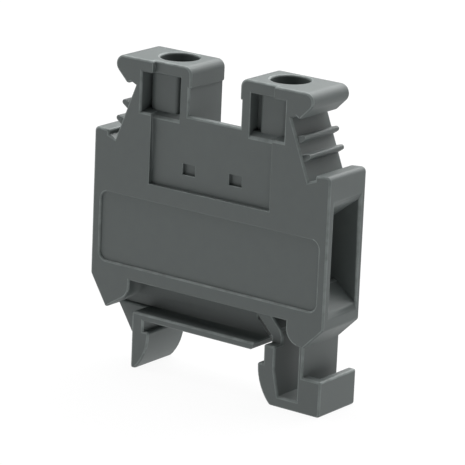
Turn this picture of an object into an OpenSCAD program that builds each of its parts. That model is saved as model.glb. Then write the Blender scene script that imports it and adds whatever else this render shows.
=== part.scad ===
// Mini feed-through terminal block for a narrow mounting rail.
// X runs along the block from wire to wire, Y from the closed front to the open back, Z up from the feet.
// Depths are measured from the closed front face.

/* [Block] */
// Length of the block from end face to end face
block_length = 29.1; // [28:0.1:34]
// Thickness of the block, which is its pitch on the rail
thickness = 6.2; // [6:0.1:8]
// Height of the towers above the feet
tower_height = 32.3; // [31.5:0.1:36]
// Height of the shoulders above the feet
shoulder_height = 24.45; // [23.8:0.05:25]
// Height of the wall between the towers above the feet
bridge_height = 27.3; // [25:0.1:28]
// Height above the feet at which the straight end faces stop
end_height = 8.95; // [8:0.05:9.05]
// Thickness of the closed front wall
front_wall = 1.3; // [1.1:0.05:1.6]
// Radius on the outer corners of the shoulders
shoulder_round = 0.5; // [0.1:0.05:0.6]
// Radius on the lower corners of the end faces
end_round = 0.5; // [0.2:0.05:0.8]

/* [Towers] */
// Distance between the two clamp screws
clamp_pitch = 13.6; // [13:0.1:14.5]
// Distance of a tower's inner face from the middle of the block
tower_inner = 3.2; // [2.6:0.02:3.4]
// How far the cap of a tower stands out past its inner face
cap_lip = 0.18; // [0.1:0.02:0.4]
// Height of the cap of a tower
cap_height = 2.2; // [1.6:0.1:3]
// Radius on the inner corner of a cap
cap_round = 0.85; // [0.4:0.05:1.2]
// Reach of a tower's nose from the clamp screw's axis
nose_reach = 5.3; // [4.9:0.1:6]
// Radius of a tower's nose
nose_round = 0.95; // [0.7:0.05:1.1]
// Height of a nose from its lip to its top
nose_height = 2.82; // [2.4:0.02:3.2]
// Height of the shallow notch behind a nose's lip
lip_notch = 0.26; // [0.1:0.01:0.4]
// Radius on a nose's lip
lip_round = 0.35; // [0.15:0.05:0.5]
// Reach of a tower's sloped wall from the screw's axis, just below the nose
slope_top_reach = 2.77; // [2.65:0.01:3]
// Width of a shoulder, from the groove to the end face
shoulder_width = 1.83; // [1.2:0.01:2.2]
// Depth of the groove between a sloped wall and its shoulder
groove_depth = 0.9; // [0.75:0.01:1.2]
// Width of that groove
groove_width = 0.8; // [0.5:0.05:1.1]
// Depth below a shoulder's top at which its upright inner side ends
shoulder_step = 0.6; // [0.3:0.05:0.65]
// Fall of a shoulder's top towards the groove
shoulder_fall = 0.12; // [0.02:0.02:0.2]
// Number of grip ribs on a sloped wall
rib_count = 2; // [1:1:2]
// Spacing of the grip ribs down the wall
rib_pitch = 1.75; // [1.5:0.05:1.9]
// Reach of a grip rib past the wall
rib_reach = 1; // [0.8:0.05:1.4]
// Thickness of a grip rib where it meets the wall
rib_root = 0.7; // [0.6:0.05:0.9]
// Angle at which a grip rib's upper face rises outwards
rib_rise = 17; // [5:1:20]
// Distance of a rib's ends from the faces of the block
rib_set_back = 0.25; // [0.1:0.05:0.8]
// Radius on the tip of a grip rib
rib_tip = 0.27; // [0.2:0.01:0.3]
// Distance of the first rib below the top of the sloped wall
rib_start = 1.7; // [1.3:0.05:1.9]
// How much lower the ribs of the left tower sit
left_rib_drop = 0.25; // [0:0.05:0.4]

/* [Front face] */
// Width of the shallow field that runs up through both towers
field_width = 14.9; // [13.8:0.1:16]
// Height of that field's lower edge above the feet
field_foot = 19.7; // [18.5:0.1:20.5]
// Depth of that field
field_depth = 0.5; // [0.3:0.05:0.6]
// Width of a tower's window
window_width = 4.5; // [3.6:0.1:4.8]
// Height of a tower's window
window_height = 4.1; // [3:0.05:4.4]
// Distance of a window's top below the top of the tower
window_drop = 1.3; // [1:0.05:1.8]
// Distance of a window's centre from the screw's axis, towards the middle
window_offset = 0.25; // [0:0.05:0.4]
// Depth of a window beside the screw guide
window_depth = 1.9; // [1.5:0.05:1.95]
// Drop of the sloped sill of a window where it meets the field
sill_drop = 0.3; // [0.1:0.05:0.5]
// Depth of that sill
sill_run = 0.6; // [0.3:0.05:0.8]
// Width of a small blind pocket in the field
pocket_width = 1.56; // [1:0.02:2]
// Height of a small blind pocket
pocket_height = 1.12; // [0.8:0.02:1.6]
// Depth of a small blind pocket below the field
pocket_depth = 0.4; // [0.2:0.05:0.5]
// Distance between the two pockets
pocket_pitch = 5.76; // [4:0.02:8]
// Height of the pockets above the field's lower edge
pocket_rise = 1.6; // [1:0.05:2.2]
// Distance of the label field's ends from the end faces
label_margin = 1.05; // [0.7:0.05:4]
// Height of the label field
label_height = 7.2; // [5:0.1:7.6]
// Height of the label field's lower edge above the feet
label_foot = 10.66; // [10:0.02:11.5]
// Depth of the label field
label_depth = 0.25; // [0.15:0.05:0.4]
// Corner radius of the label field
label_round = 0.9; // [0.4:0.05:1.5]

/* [Wire funnels] */
// Height of a funnel's mouth
mouth_height = 11.1; // [9:0.1:11.4]
// Height of a mouth's lower edge above the feet
mouth_foot = 10.4; // [10:0.05:11]
// Thickness of the wall in front of a funnel
funnel_front = 0.95; // [0.7:0.05:1.1]
// Thickness of the wall behind a funnel
funnel_back = 0.7; // [0.5:0.05:0.9]
// Drop of a funnel's floor from the clamp to the bend half way out
floor_drop = 0.5; // [0.2:0.05:0.9]

/* [Screws] */
// Radius of a screwdriver guide hole
guide_r = 2; // [1.8:0.02:2.1]
// Depth at which the flat front of a screw guide stands in its window
guide_front = 1.15; // [0.9:0.05:1.3]
// Distance of a screw guide's inner side from the screw's axis
guide_side = 1.75; // [1.6:0.05:1.9]
// Radius on the inner edge of a screw guide
guide_round = 0.4; // [0.1:0.05:0.55]
// Radius of a screw head
head_r = 2.2; // [2.12:0.01:2.3]
// Height of a screw head
head_height = 1.9; // [1.5:0.05:2.2]
// Radius of a screw's threaded shank
shank_r = 1.5; // [1.2:0.05:1.6]
// Width of a screw's driver slot
slot_width = 0.7; // [0.5:0.05:1]
// Depth of a screw's driver slot
slot_depth = 0.95; // [0.6:0.05:1.2]
// Thickness of the web behind a screw head
head_web = 0.35; // [0.25:0.05:0.6]
// Running clearance round the turning screws
running_clear = 0.05; // [0.03:0.01:0.09]
// End play of a screw head in its chamber
head_play = 0.25; // [0.15:0.05:0.4]
// Chamfer on the edges of a screw
screw_edge = 0.25; // [0.1:0.05:0.4]

/* [Clamps] */
// Height of the current bar's underside above the feet
bar_height = 16.4; // [16.2:0.05:16.8]
// Thickness of the current bar
bar_thick = 1.2; // [0.8:0.05:1.4]
// Width of the current bar
bar_width = 2.9; // [2.4:0.05:3]
// Overhang of the current bar past a screw's axis
bar_overhang = 2.3; // [1.8:0.1:2.5]
// Length of a clamp cage along the wire
cage_length = 5; // [4.4:0.1:5.2]
// Thickness of a cage's side walls
cage_side = 0.7; // [0.5:0.05:0.75]
// Thickness of a cage's floor
cage_floor = 0.9; // [0.7:0.05:1.1]
// Thickness of a cage's threaded top
cage_top = 1.4; // [1.1:0.05:1.5]
// Room for the wire under the bar with the clamp open
wire_room = 3.3; // [3:0.05:3.5]
// Lift of a cage from open to closed
cage_travel = 2.8; // [2.4:0.05:2.9]
// Clearance of the sliding metal parts
slide_clear = 0.1; // [0.05:0.01:0.15]
// Outer corner radius of a bent cage
cage_bend = 0.6; // [0.3:0.05:0.8]
// Thickness of the moulding above the bar, between the clamps
bar_cover = 1.2; // [0.8:0.05:1.6]
// Thickness of the shelf under the bar, between the clamps
bar_shelf = 1.1; // [0.8:0.05:1.5]
// Thickness of the floor under the cored room between the clamps
core_base = 1.3; // [1:0.05:1.8]
// Chamfer on the corners of the bar's ends
bar_edge = 0.3; // [0.1:0.05:0.5]

/* [Rail feet] */
// Width of the mounting rail
rail_width = 15; // [14.6:0.05:15.4]
// Play of the rail between the feet
rail_play = 0.12; // [0.05:0.01:0.3]
// Thickness of the rail's edges
rail_thick = 1; // [0.8:0.05:1.2]
// Clearance above the rail's edges
rail_clear = 0.05; // [0.02:0.01:0.15]
// Height of the rail seat above the feet
rail_seat = 5.2; // [4.9:0.05:5.5]
// Thickness of the beam over the rail
beam_thick = 0.8; // [0.7:0.05:1.1]
// Slant of the beam's free end
beam_slant = 0.38; // [0.1:0.02:0.6]
// Height of the channel between the beam and the front wall
channel_height = 3.1; // [2.6:0.05:3.3]
// Depth of that channel
channel_depth = 2.7; // [2:0.1:3.2]
// Step by which the web below the channel stands forward
web_step = 0.3; // [0.1:0.05:0.6]
// Gap between the beam's end and the sprung post
beam_gap = 1.15; // [0.8:0.05:1.5]
// Overhang of the hooks under the rail
hook_reach = 0.7; // [0.5:0.02:0.9]
// Radius of the run-in curve below a hook
hook_curve = 5.55; // [5.2:0.05:6.5]
// Thickness of the fixed leg
leg_thick = 1.44; // [1.2:0.02:1.7]
// Length of the lobe at the top of the fixed foot
lobe_length = 3.85; // [3.2:0.05:4.4]
// Distance of the left lobe's inner side from its end face
left_lobe_width = 5; // [4.6:0.05:5.2]
// Distance of the right lobe's inner side from its end face
right_lobe_width = 4.5; // [4.3:0.05:4.7]
// Radius on the inner side of both lobes
lobe_round = 1.7; // [1.4:0.05:1.8]
// Thickness of the sprung post
post_thick = 1.36; // [1:0.02:1.5]
// Height of the post's step above the feet
post_height = 6.15; // [5.8:0.05:6.3]
// Depth at which the sprung arm starts behind that step
arm_depth = 1.25; // [0.9:0.05:1.6]
// Thickness of the sprung foot's base
base_thick = 1.15; // [0.9:0.05:1.4]
// Thickness of the thin sprung leg
spring_thick = 0.58; // [0.45:0.01:0.7]
// Distance of the thin leg's outer face from the end face
spring_inset = 2.22; // [2.1:0.02:2.5]
// Height of the release tab
tab_height = 3.72; // [3.2:0.02:4.2]
// Thickness of the release tab's outer wall
tab_wall = 0.9; // [0.7:0.05:1.1]
// Thickness of the web in front of the tab's pocket
tab_web = 1.2; // [0.8:0.05:1.6]
// Radius on the outer corners of the feet
foot_round = 0.35; // [0.15:0.05:0.5]
// Radius on the tip of a hook
hook_round = 0.25; // [0.1:0.05:0.35]
// Height of the bend where the arm leaves the post
arm_bend = 0.7; // [0.4:0.05:0.9]
// Height of the taper at the foot of the sprung slot
slot_taper = 2.6; // [1.8:0.1:3]
// Width of that taper
slot_slant = 0.58; // [0.3:0.02:0.8]

/* [Hidden] */
$fn = 64;
arc_steps = 8;
past = 1;
half_length = block_length / 2;
clamp_x = clamp_pitch / 2;
axis_depth = thickness - head_web - head_r - running_clear;
axis_y = axis_depth - thickness / 2;

// Heights of the clamp, from the bar up to the screw head
bar_top = bar_height + bar_thick;
cage_roof_low = bar_top + slide_clear / 2;
cage_roof_high = cage_roof_low + cage_top;
cage_base_top = bar_height - wire_room;
cage_base_low = cage_base_top - cage_floor;
chamber_roof = cage_roof_high + cage_travel + slide_clear;
head_low = chamber_roof + slide_clear;
head_roof = head_low + head_height + head_play;
screw_tip = bar_top + slide_clear / 2;

// Plan of the clamp
cage_width = bar_width + 2 * (slide_clear + cage_side);
chamber_front = axis_depth - cage_width / 2 - slide_clear / 2;
chamber_half = cage_length / 2 + 2 * slide_clear;
chamber_floor = cage_base_low - 2 * slide_clear;
bar_half = clamp_x + bar_overhang;
bar_front = axis_depth - bar_width / 2;

// Towers and front face
cap_inner = tower_inner - cap_lip;
cap_foot = tower_height - cap_height;
lip_height = tower_height - nose_height;
groove_height = shoulder_height - groove_depth;
groove_x = half_length - shoulder_width - groove_width;
slope_top = lip_height;
slope_top_x = clamp_x + slope_top_reach;
well_floor = bar_top + bar_cover;
well_top = (bridge_height + cap_foot) / 2;
window_foot = tower_height - window_drop - window_height;
window_inner = clamp_x - window_offset - window_width / 2;
window_outer = window_inner + window_width;

// Feet
rail_half = (rail_width + rail_play) / 2;
leg_outer = rail_half + leg_thick;
beam_top = rail_seat + beam_thick;
wall_foot = beam_top + channel_height;
body_foot = max(wall_foot, end_height) + past / 2;
core_floor = wall_foot + core_base;
core_roof = bar_height - bar_shelf;
beam_end = rail_half - beam_gap;
hook_height = rail_seat - rail_thick - rail_clear;
hook_tip = rail_half - hook_reach;
post_outer = rail_half + post_thick;
spring_outer = half_length - spring_inset;
spring_inner = spring_outer - spring_thick;

// Points along an arc, from angle a0 to a1
function arc(centre, r, a0, a1, steps = arc_steps) =
    [for (i = [0:steps]) centre + r * [cos(a0 + (a1 - a0) * i / steps), sin(a0 + (a1 - a0) * i / steps)]];

// Points that round the corner b between a and c
function corner(a, b, c, r) =
    let (u = (a - b) / norm(a - b),
         v = (c - b) / norm(c - b),
         half_angle = acos(u * v) / 2,
         centre = b + (u + v) / norm(u + v) * r / sin(half_angle),
         first = b + u * r / tan(half_angle) - centre,
         last = b + v * r / tan(half_angle) - centre,
         a0 = atan2(first[1], first[0]),
         turn = atan2(last[1], last[0]) - a0)
    arc(centre, r, a0, a0 + (turn > 180 ? turn - 360 : turn < -180 ? turn + 360 : turn));

// Distance of a tower's sloped wall from the middle of the block, at a height
function slope_x(z) = slope_top_x + (groove_x - slope_top_x) * (slope_top - z) / (slope_top - groove_height);

// Stands an outline drawn in X and Z upright between two depths
module slab(from, to) {
    translate([0, to - thickness / 2, 0]) rotate([90, 0, 0]) linear_extrude(to - from) children();
}

// Repeats a shape on the other side of the middle
module both_sides() {
    children();
    mirror([1, 0, 0]) children();
}

// Rectangle with round corners, centred in X, standing on a height
module round_field(width, height, foot, r) {
    w = width / 2 - r;
    polygon(concat(
        arc([w, foot + r], r, -90, 0),
        arc([w, foot + height - r], r, 0, 90),
        arc([-w, foot + height - r], r, 90, 180),
        arc([-w, foot + r], r, 180, 270)));
}

// Outline of the right tower: cap, nose with its lip and the sloped outer wall
module tower_outline() {
    nose_x = clamp_x + nose_reach - nose_round;
    nose_z = tower_height - nose_round;
    nose_low = nose_round * sin(45);
    lip = [nose_x + nose_low - (nose_z - nose_low - lip_height), lip_height];
    notch = [(lip[0] + slope_top_x) / 2, lip_height + lip_notch];
    polygon(concat(
        [[tower_inner, body_foot], [tower_inner, cap_foot], [cap_inner, cap_foot]],
        arc([cap_inner + cap_round, tower_height - cap_round], cap_round, 180, 90),
        arc([nose_x, nose_z], nose_round, 90, -45, 2 * arc_steps),
        corner([nose_x + nose_low, nose_z - nose_low], lip, notch, lip_round),
        [notch, [slope_top_x, slope_top], [groove_x, groove_height], [groove_x, body_foot]]));
}

// Outline of one grip rib, whose upper root is at height z on the sloped wall
module rib_outline(z) {
    out = rib_reach - rib_tip;
    tip = [slope_x(z) + out, z + out * tan(rib_rise) - rib_tip / cos(rib_rise)];
    lower_turn = -60;
    polygon(concat(
        [[slope_x(z) - rib_tip, z - rib_root], [slope_x(z) - rib_tip, z - rib_tip * tan(rib_rise)]],
        arc(tip, rib_tip, 90 + rib_rise, lower_turn),
        [[slope_x(z - rib_root), z - rib_root]]));
}

// Grip ribs of the right tower, lowered by a drop
module grip_ribs(drop) {
    for (i = [0:rib_count - 1])
        slab(rib_set_back, thickness - rib_set_back)
            rib_outline(slope_top - rib_start - drop - i * rib_pitch);
}

// Outline of the body's right half above the feet, with its shoulder and groove
module shoulder_outline() {
    inner = half_length - shoulder_width;
    polygon(concat(
        [[0, body_foot], [0, groove_height], [groove_x, groove_height],
         [inner, shoulder_height - shoulder_step], [inner, shoulder_height - shoulder_fall]],
        arc([half_length - shoulder_round, shoulder_height - shoulder_round], shoulder_round, 90, 0),
        [[half_length, body_foot]]));
}

// Rounded foot of the left end face, where the long slope to the fixed foot starts
function left_end_points() =
    corner([-half_length, shoulder_height], [-half_length, end_height], [-leg_outer, 0], end_round);

// Outline of the left lobe: its end is square to the long slope that runs down to the fixed foot
module left_lobe_outline() {
    run = [half_length - leg_outer, -end_height];
    along = run / norm(run);
    tip = [-half_length, end_height] + lobe_length * along;
    centre_x = -half_length + left_lobe_width - lobe_round;
    centre_z = tip[1] + ((centre_x - tip[0]) * along[0] + lobe_round) / -along[1];
    turn = atan2(along[1], along[0]);
    polygon(concat(
        [[-half_length, body_foot + past]],
        left_end_points(),
        [tip],
        arc([centre_x, centre_z], lobe_round, turn, 0),
        [[centre_x + lobe_round, body_foot + past]]));
}

// Outline of the right lobe, which ends in the thin sprung leg
module right_lobe_outline() {
    inner = half_length - right_lobe_width;
    low = end_height - spring_inset;
    polygon(concat(
        [[inner, body_foot + past]],
        arc([inner + lobe_round, low + lobe_round], lobe_round, 180, 270),
        [[spring_outer, low]],
        corner([spring_outer, low], [half_length, end_height], [half_length, shoulder_height], end_round),
        [[half_length, body_foot + past]]));
}

// Front outline of the whole block above the rail
module block_outline() {
    both_sides() {
        tower_outline();
        shoulder_outline();
    }
    translate([-tower_inner - past, body_foot])
        square([2 * (tower_inner + past), bridge_height - body_foot]);
    translate([-half_length + left_lobe_width - lobe_round, wall_foot])
        square([block_length - left_lobe_width - right_lobe_width + 2 * lobe_round,
                body_foot + past - wall_foot]);
    left_lobe_outline();
    right_lobe_outline();
}

// Run-in curve of a hook and the foot below it, on the right
function hook_points() = concat(
    [[rail_half, hook_height]],
    arc([hook_tip + hook_round, hook_height - hook_round], hook_round, 90, 180),
    arc([hook_tip + hook_curve, hook_height - hook_round], hook_curve,
        180, 180 + asin((hook_height - hook_round) / hook_curve)));

// Fixed leg with its hook, and the beam over the rail
module fixed_foot_outline() {
    mirror([1, 0]) polygon(concat(
        hook_points(),
        [[leg_outer, 0], [leg_outer, beam_top], [rail_half, beam_top]]));
    polygon([[-leg_outer, rail_seat], [beam_end - beam_slant, rail_seat], [beam_end, beam_top],
             [-leg_outer, beam_top]]);
}

// Web behind the channel: it carries the beam and runs down the long slope to the fixed foot
module web_outline() {
    polygon(concat(
        [[-half_length, wall_foot + past]],
        left_end_points(),
        [[-leg_outer, 0], [-leg_outer + leg_thick / 4, 0],
         [-rail_half - leg_thick / 4, rail_seat + beam_thick / 2],
         [beam_end - beam_slant / 2, rail_seat + beam_thick / 2], [beam_end, beam_top],
         [beam_end - channel_height / 2, beam_top + channel_height / 2],
         [beam_end - channel_height / 2, wall_foot + past]]));
}

// Part of that web beside the fixed leg, below the beam's top
module leg_web_outline() {
    slope_foot = half_length - (half_length - leg_outer) * (end_height - beam_top) / end_height;
    polygon([[-slope_foot, beam_top], [-leg_outer, 0], [-leg_outer + leg_thick / 4, 0],
             [-leg_outer + leg_thick / 4, beam_top]]);
}

// Sprung post with its hook, the base, the thin leg and the release tab
module sprung_foot_outline() {
    difference() {
        polygon(concat(
            [[post_outer, post_height], [rail_half, post_height]],
            hook_points(),
            arc([half_length - foot_round, foot_round], foot_round, -90, 0),
            [[half_length, tab_height], [spring_outer, tab_height],
             [spring_outer, end_height], [post_outer, end_height]]));
        polygon([[post_outer, post_height], [post_outer, base_thick + slot_taper],
                 [post_outer + slot_slant, base_thick], [spring_inner, base_thick],
                 [spring_inner, end_height + past], [post_outer, end_height + past]]);
    }
}

// Sprung arm that leans from the post's step up to the body
module arm_outline() {
    root = wall_foot + past;
    lean = root - post_height;
    polygon([[rail_half, base_thick], [rail_half, post_height + arm_bend],
             [rail_half - lean, root + arm_bend], [post_outer - lean + arm_bend, root + arm_bend],
             [post_outer - arm_bend / 3, post_height + 2 * arm_bend], [post_outer, post_height + arm_bend],
             [post_outer, base_thick]]);
}

// Opening of the right wire funnel, drawn in X and Z
module funnel_outline() {
    throat_x = clamp_x + chamber_half;
    floor_bend = (throat_x + half_length) / 2;
    polygon([[throat_x - past / 2, cage_base_top], [throat_x, cage_base_top],
             [floor_bend, cage_base_top - floor_drop], [half_length, mouth_foot],
             [half_length + past, mouth_foot], [half_length + past, mouth_foot + mouth_height],
             [half_length, mouth_foot + mouth_height], [throat_x, bar_top], [throat_x - past / 2, bar_top]]);
}

// Sloped sill of a tower's window, cut where the field runs past the window
module window_sill() {
    sill_end = min(field_width / 2, window_outer);
    translate([window_inner, -thickness / 2, 0]) rotate([90, 0, 90]) linear_extrude(sill_end - window_inner)
        polygon([[-past, window_foot - sill_drop], [field_depth, window_foot - sill_drop],
                 [field_depth + sill_run, window_foot], [field_depth + sill_run, window_foot + past / 2],
                 [-past, window_foot + past / 2]]);
}

// Screw guide that stands in a tower's window, with a flat front and a rounded inner edge
module screw_guide() {
    inner = clamp_x - guide_side;
    translate([0, -thickness / 2, window_foot - past]) linear_extrude(window_height + 2 * past)
        polygon(concat(
            [[inner, window_depth + past]],
            arc([inner + guide_round, guide_front + guide_round], guide_round, 180, 270),
            [[window_outer + past, guide_front], [window_outer + past, window_depth + past]]));
}

// Room for a clamp, open to the back: cage chamber, head chamber, guide hole and tower window
module clamp_room() {
    slab(chamber_front, thickness + past) translate([clamp_x - chamber_half, chamber_floor])
        square([2 * chamber_half, chamber_roof - chamber_floor]);
    slab(funnel_front, thickness - funnel_back) funnel_outline();
    translate([clamp_x, axis_y, chamber_roof - past / 2])
        cylinder(r = head_r + running_clear, h = head_roof - chamber_roof + past / 2);
    translate([clamp_x, axis_y, head_roof - past / 2])
        cylinder(r = guide_r, h = tower_height - head_roof + past);
    difference() {
        union() {
            slab(-past, window_depth) translate([window_inner, window_foot])
                square([window_width, window_height]);
            window_sill();
        }
        screw_guide();
    }
}

// Well between the towers, cored room below the bar and the slot that holds the bar
module middle_room() {
    slab(front_wall, thickness + past) {
        translate([-tower_inner, well_floor]) square([2 * tower_inner, well_top - well_floor]);
        translate([-tower_inner, core_floor]) square([2 * tower_inner, core_roof - core_floor]);
    }
    slab(bar_front - slide_clear / 2, thickness + past) translate([-clamp_x, bar_height])
        square([clamp_pitch, bar_thick + slide_clear / 2]);
}

// Shallow fields and blind pockets in the front face
module front_fields() {
    slab(-past, label_depth)
        round_field(block_length - 2 * label_margin, label_height, label_foot, label_round);
    slab(-past, field_depth) translate([-field_width / 2, field_foot]) square([field_width, tower_height]);
    both_sides() slab(-past, field_depth + pocket_depth)
        translate([(pocket_pitch - pocket_width) / 2, field_foot + pocket_rise])
            square([pocket_width, pocket_height]);
}

// One-piece moulded body with towers, funnels, fixed foot and sprung foot
module housing() {
    color([0.35, 0.37, 0.365]) difference() {
        union() {
            slab(0, thickness) block_outline();
            grip_ribs(0);
            mirror([1, 0, 0]) grip_ribs(left_rib_drop);
            slab(0, thickness) fixed_foot_outline();
            slab(channel_depth, thickness) web_outline();
            slab(channel_depth - web_step, thickness) leg_web_outline();
            slab(0, thickness) sprung_foot_outline();
            slab(arm_depth, thickness) arm_outline();
        }
        both_sides() clamp_room();
        middle_room();
        front_fields();
        slab(tab_web, thickness + past) translate([spring_outer, base_thick])
            square([spring_inset - tab_wall, tab_height]);
    }
}

// Flat bar that carries the current from clamp to clamp
module current_bar() {
    color([0.78, 0.66, 0.42]) slab(bar_front, bar_front + bar_width)
        polygon([[-bar_half + bar_edge, bar_height], [bar_half - bar_edge, bar_height],
                 [bar_half, bar_height + bar_edge], [bar_half, bar_top], [-bar_half, bar_top],
                 [-bar_half, bar_height + bar_edge]]);
}

// Section of a bent cage across the wire, drawn in depth and height about the screw's axis
module cage_section() {
    w = cage_width / 2;
    difference() {
        polygon(concat(
            arc([w - cage_bend, cage_base_low + cage_bend], cage_bend, -90, 0),
            arc([w - cage_bend, cage_roof_high - cage_bend], cage_bend, 0, 90),
            arc([-w + cage_bend, cage_roof_high - cage_bend], cage_bend, 90, 180),
            arc([-w + cage_bend, cage_base_low + cage_bend], cage_bend, 180, 270)));
        translate([-w + cage_side, cage_base_top])
            square([2 * (w - cage_side), cage_roof_low - cage_base_top]);
    }
}

// Rising cage of the right clamp, in its open place
module clamp_cage() {
    color([0.72, 0.73, 0.74]) difference() {
        translate([clamp_x - cage_length / 2, axis_y, 0]) rotate([90, 0, 90]) linear_extrude(cage_length)
            cage_section();
        translate([clamp_x, axis_y, cage_roof_low - past / 2])
            cylinder(r = shank_r + running_clear, h = cage_top + past);
    }
}

// Slotted clamp screw of the right clamp
module clamp_screw() {
    head_top = head_low + head_height;
    color([0.75, 0.76, 0.77]) translate([clamp_x, axis_y, 0]) difference() {
        rotate_extrude() polygon([
            [0, screw_tip], [shank_r - screw_edge, screw_tip], [shank_r, screw_tip + screw_edge],
            [shank_r, head_low], [head_r, head_low], [head_r, head_top - screw_edge],
            [head_r - screw_edge, head_top], [0, head_top]]);
        translate([-head_r - past, -slot_width / 2, head_top - slot_depth])
            cube([2 * (head_r + past), slot_width, slot_depth + past]);
    }
}

module left_clamp_cage() { mirror([1, 0, 0]) clamp_cage(); }
module right_clamp_cage() { clamp_cage(); }
module left_clamp_screw() { mirror([1, 0, 0]) clamp_screw(); }
module right_clamp_screw() { clamp_screw(); }

housing();
current_bar();
left_clamp_cage();
right_clamp_cage();
left_clamp_screw();
right_clamp_screw();
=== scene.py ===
# %% [markdown]
# # Mini feed-through terminal block
#
# A block like this clips onto a narrow metal rail and joins two wires. Its body is one piece of
# grey moulded plastic with two towers, two wire funnels, a fixed foot and a sprung foot. Inside it
# sit a brass bar, two steel clamp cages and two slotted screws. The imported model gives the sizes
# and the places. This lesson gives the pieces what a solid model leaves out: rounded mould edges, a
# cage folded from strip, a real thread, plastic and metal with a drifting tone and a painted
# highlight on their rounded edges, light and a camera.

# %% Load the imported model
import math
import bpy
import bmesh
from mathutils import Matrix, Vector


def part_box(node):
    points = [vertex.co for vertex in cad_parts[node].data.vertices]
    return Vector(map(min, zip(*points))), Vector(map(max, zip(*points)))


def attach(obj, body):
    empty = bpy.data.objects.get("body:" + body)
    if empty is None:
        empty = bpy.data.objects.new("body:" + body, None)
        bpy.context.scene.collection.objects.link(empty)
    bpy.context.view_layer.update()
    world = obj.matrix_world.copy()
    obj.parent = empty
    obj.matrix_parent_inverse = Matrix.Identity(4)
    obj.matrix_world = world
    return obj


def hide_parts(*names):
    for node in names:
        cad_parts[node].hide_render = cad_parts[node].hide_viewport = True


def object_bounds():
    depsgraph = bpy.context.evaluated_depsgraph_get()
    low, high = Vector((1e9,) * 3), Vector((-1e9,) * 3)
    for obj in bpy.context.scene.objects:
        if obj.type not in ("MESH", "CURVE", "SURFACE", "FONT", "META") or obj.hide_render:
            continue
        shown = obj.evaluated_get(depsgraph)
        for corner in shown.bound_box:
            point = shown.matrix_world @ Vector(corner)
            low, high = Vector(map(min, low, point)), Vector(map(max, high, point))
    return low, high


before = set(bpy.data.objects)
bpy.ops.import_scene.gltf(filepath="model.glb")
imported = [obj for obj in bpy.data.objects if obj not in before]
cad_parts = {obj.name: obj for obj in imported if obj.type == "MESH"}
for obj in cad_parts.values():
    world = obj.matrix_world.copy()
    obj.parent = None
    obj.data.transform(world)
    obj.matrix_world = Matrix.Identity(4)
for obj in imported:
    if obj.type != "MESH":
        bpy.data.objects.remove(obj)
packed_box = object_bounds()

MM = 0.001
print("packed nodes:", sorted(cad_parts))

# %% [markdown]
# ## Small helpers
#
# By hand, every step starts with a click on one object and ends with the Apply button of a
# modifier. These helpers do the same: select one object alone, open it in edit mode, pick faces,
# edges or points by a test, and apply what is in the modifier list.

# %% Select, edit and apply
def pick_object(piece):
    bpy.ops.object.select_all(action="DESELECT")
    piece.select_set(True)
    bpy.context.view_layer.objects.active = piece


def open_mesh(piece, mode="FACE"):
    pick_object(piece)
    bpy.ops.object.mode_set(mode="EDIT")
    bpy.ops.mesh.select_mode(type=mode)
    bpy.ops.mesh.select_all(action="DESELECT")
    return bmesh.from_edit_mesh(piece.data)


def pick_parts(piece, parts, test):
    chosen = [part for part in parts if test(part)]
    for part in chosen:
        part.select_set(True)
    bmesh.update_edit_mesh(piece.data)
    return len(chosen)


def close_mesh():
    bpy.ops.object.mode_set(mode="OBJECT")


def apply_all(piece):
    pick_object(piece)
    for modifier in list(piece.modifiers):
        bpy.ops.object.modifier_apply(modifier=modifier.name)


# %% [markdown]
# ## Rounded edges
#
# A mould can't make a knife edge, so every edge of the real block has a small radius that catches a
# thin line of light. A Bevel modifier makes that radius. One width for all edges would swallow the
# shallow field on the front, so each outer edge gets its own weight, which is less where the face
# beside it is narrow. The room on a face is measured from a few places on the edge, straight across
# to the next sharp edge.

# %% Measure the room beside an edge
SHARP, TOUCH = math.radians(24), 0.0001 * MM
PROBES = (0.02, 0.15, 0.3, 0.5, 0.7, 0.85, 0.98)
OUTER_SHARE, INNER_SHARE, NO_LIMIT = 0.42, 0.8, 1.0


def is_sharp(edge):
    return len(edge.link_faces) == 2 and edge.calc_face_angle(0) > SHARP


def room_beside(edge, face):
    """How wide a rounding may be on a face, from one of its edges to the next sharp edge across."""
    a, b = edge.verts[0].co, edge.verts[1].co
    along = (b - a).normalized()
    across = face.normal.cross(along)
    if across.dot(face.calc_center_median() - a) < 0:
        across = -across
    nearest = NO_LIMIT
    for probe in PROBES:
        start = a.lerp(b, probe)
        for other in face.edges:
            if other is edge or not is_sharp(other):
                continue
            p, q = other.verts[0].co - start, other.verts[1].co - start
            pu, pv, qu, qv = p.dot(along), p.dot(across), q.dot(along), q.dot(across)
            if (pu > 0) == (qu > 0):
                continue
            hit = pv + (qv - pv) * pu / (pu - qu)
            if hit > TOUCH:
                nearest = min(nearest, (OUTER_SHARE if other.is_convex else INNER_SHARE) * hit)
    return nearest


# %% [markdown]
# Along a curve the radius has to change slowly, because two offset lines that are nearly in line
# meet far away when their widths differ. So where one edge has much more radius than the next, it
# gives some up, and that is repeated until nothing changes any more.

# %% Even out the radius along a curve
STRAIGHT, CURVE = math.radians(0.01), math.radians(40)
GROWTH, SLACK = 0.5, 1e-9


def even_out(net, radius):
    """Lowers the radius of an edge where the next edge of a curve has much less."""
    lowered = True
    while lowered:
        lowered = False
        for vert in net.verts:
            ends = [edge for edge in vert.link_edges if edge in radius]
            for edge in ends:
                for other in ends:
                    if other is edge:
                        continue
                    way, other_way = (e.other_vert(vert).co - vert.co for e in (edge, other))
                    turn = math.pi - way.angle(other_way)
                    if not STRAIGHT < turn < CURVE:
                        continue
                    most = radius[other] + GROWTH * math.tan(turn) * min(way.length, other_way.length)
                    if radius[edge] > most + SLACK:
                        radius[edge] = most
                        lowered = True


# %% [markdown]
# A bevel weight is a share of the modifier's width, so each radius is divided by the widest one.
# Only outer edges get a weight. Inner corners stay sharp, as a mould's own edges are.

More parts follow.
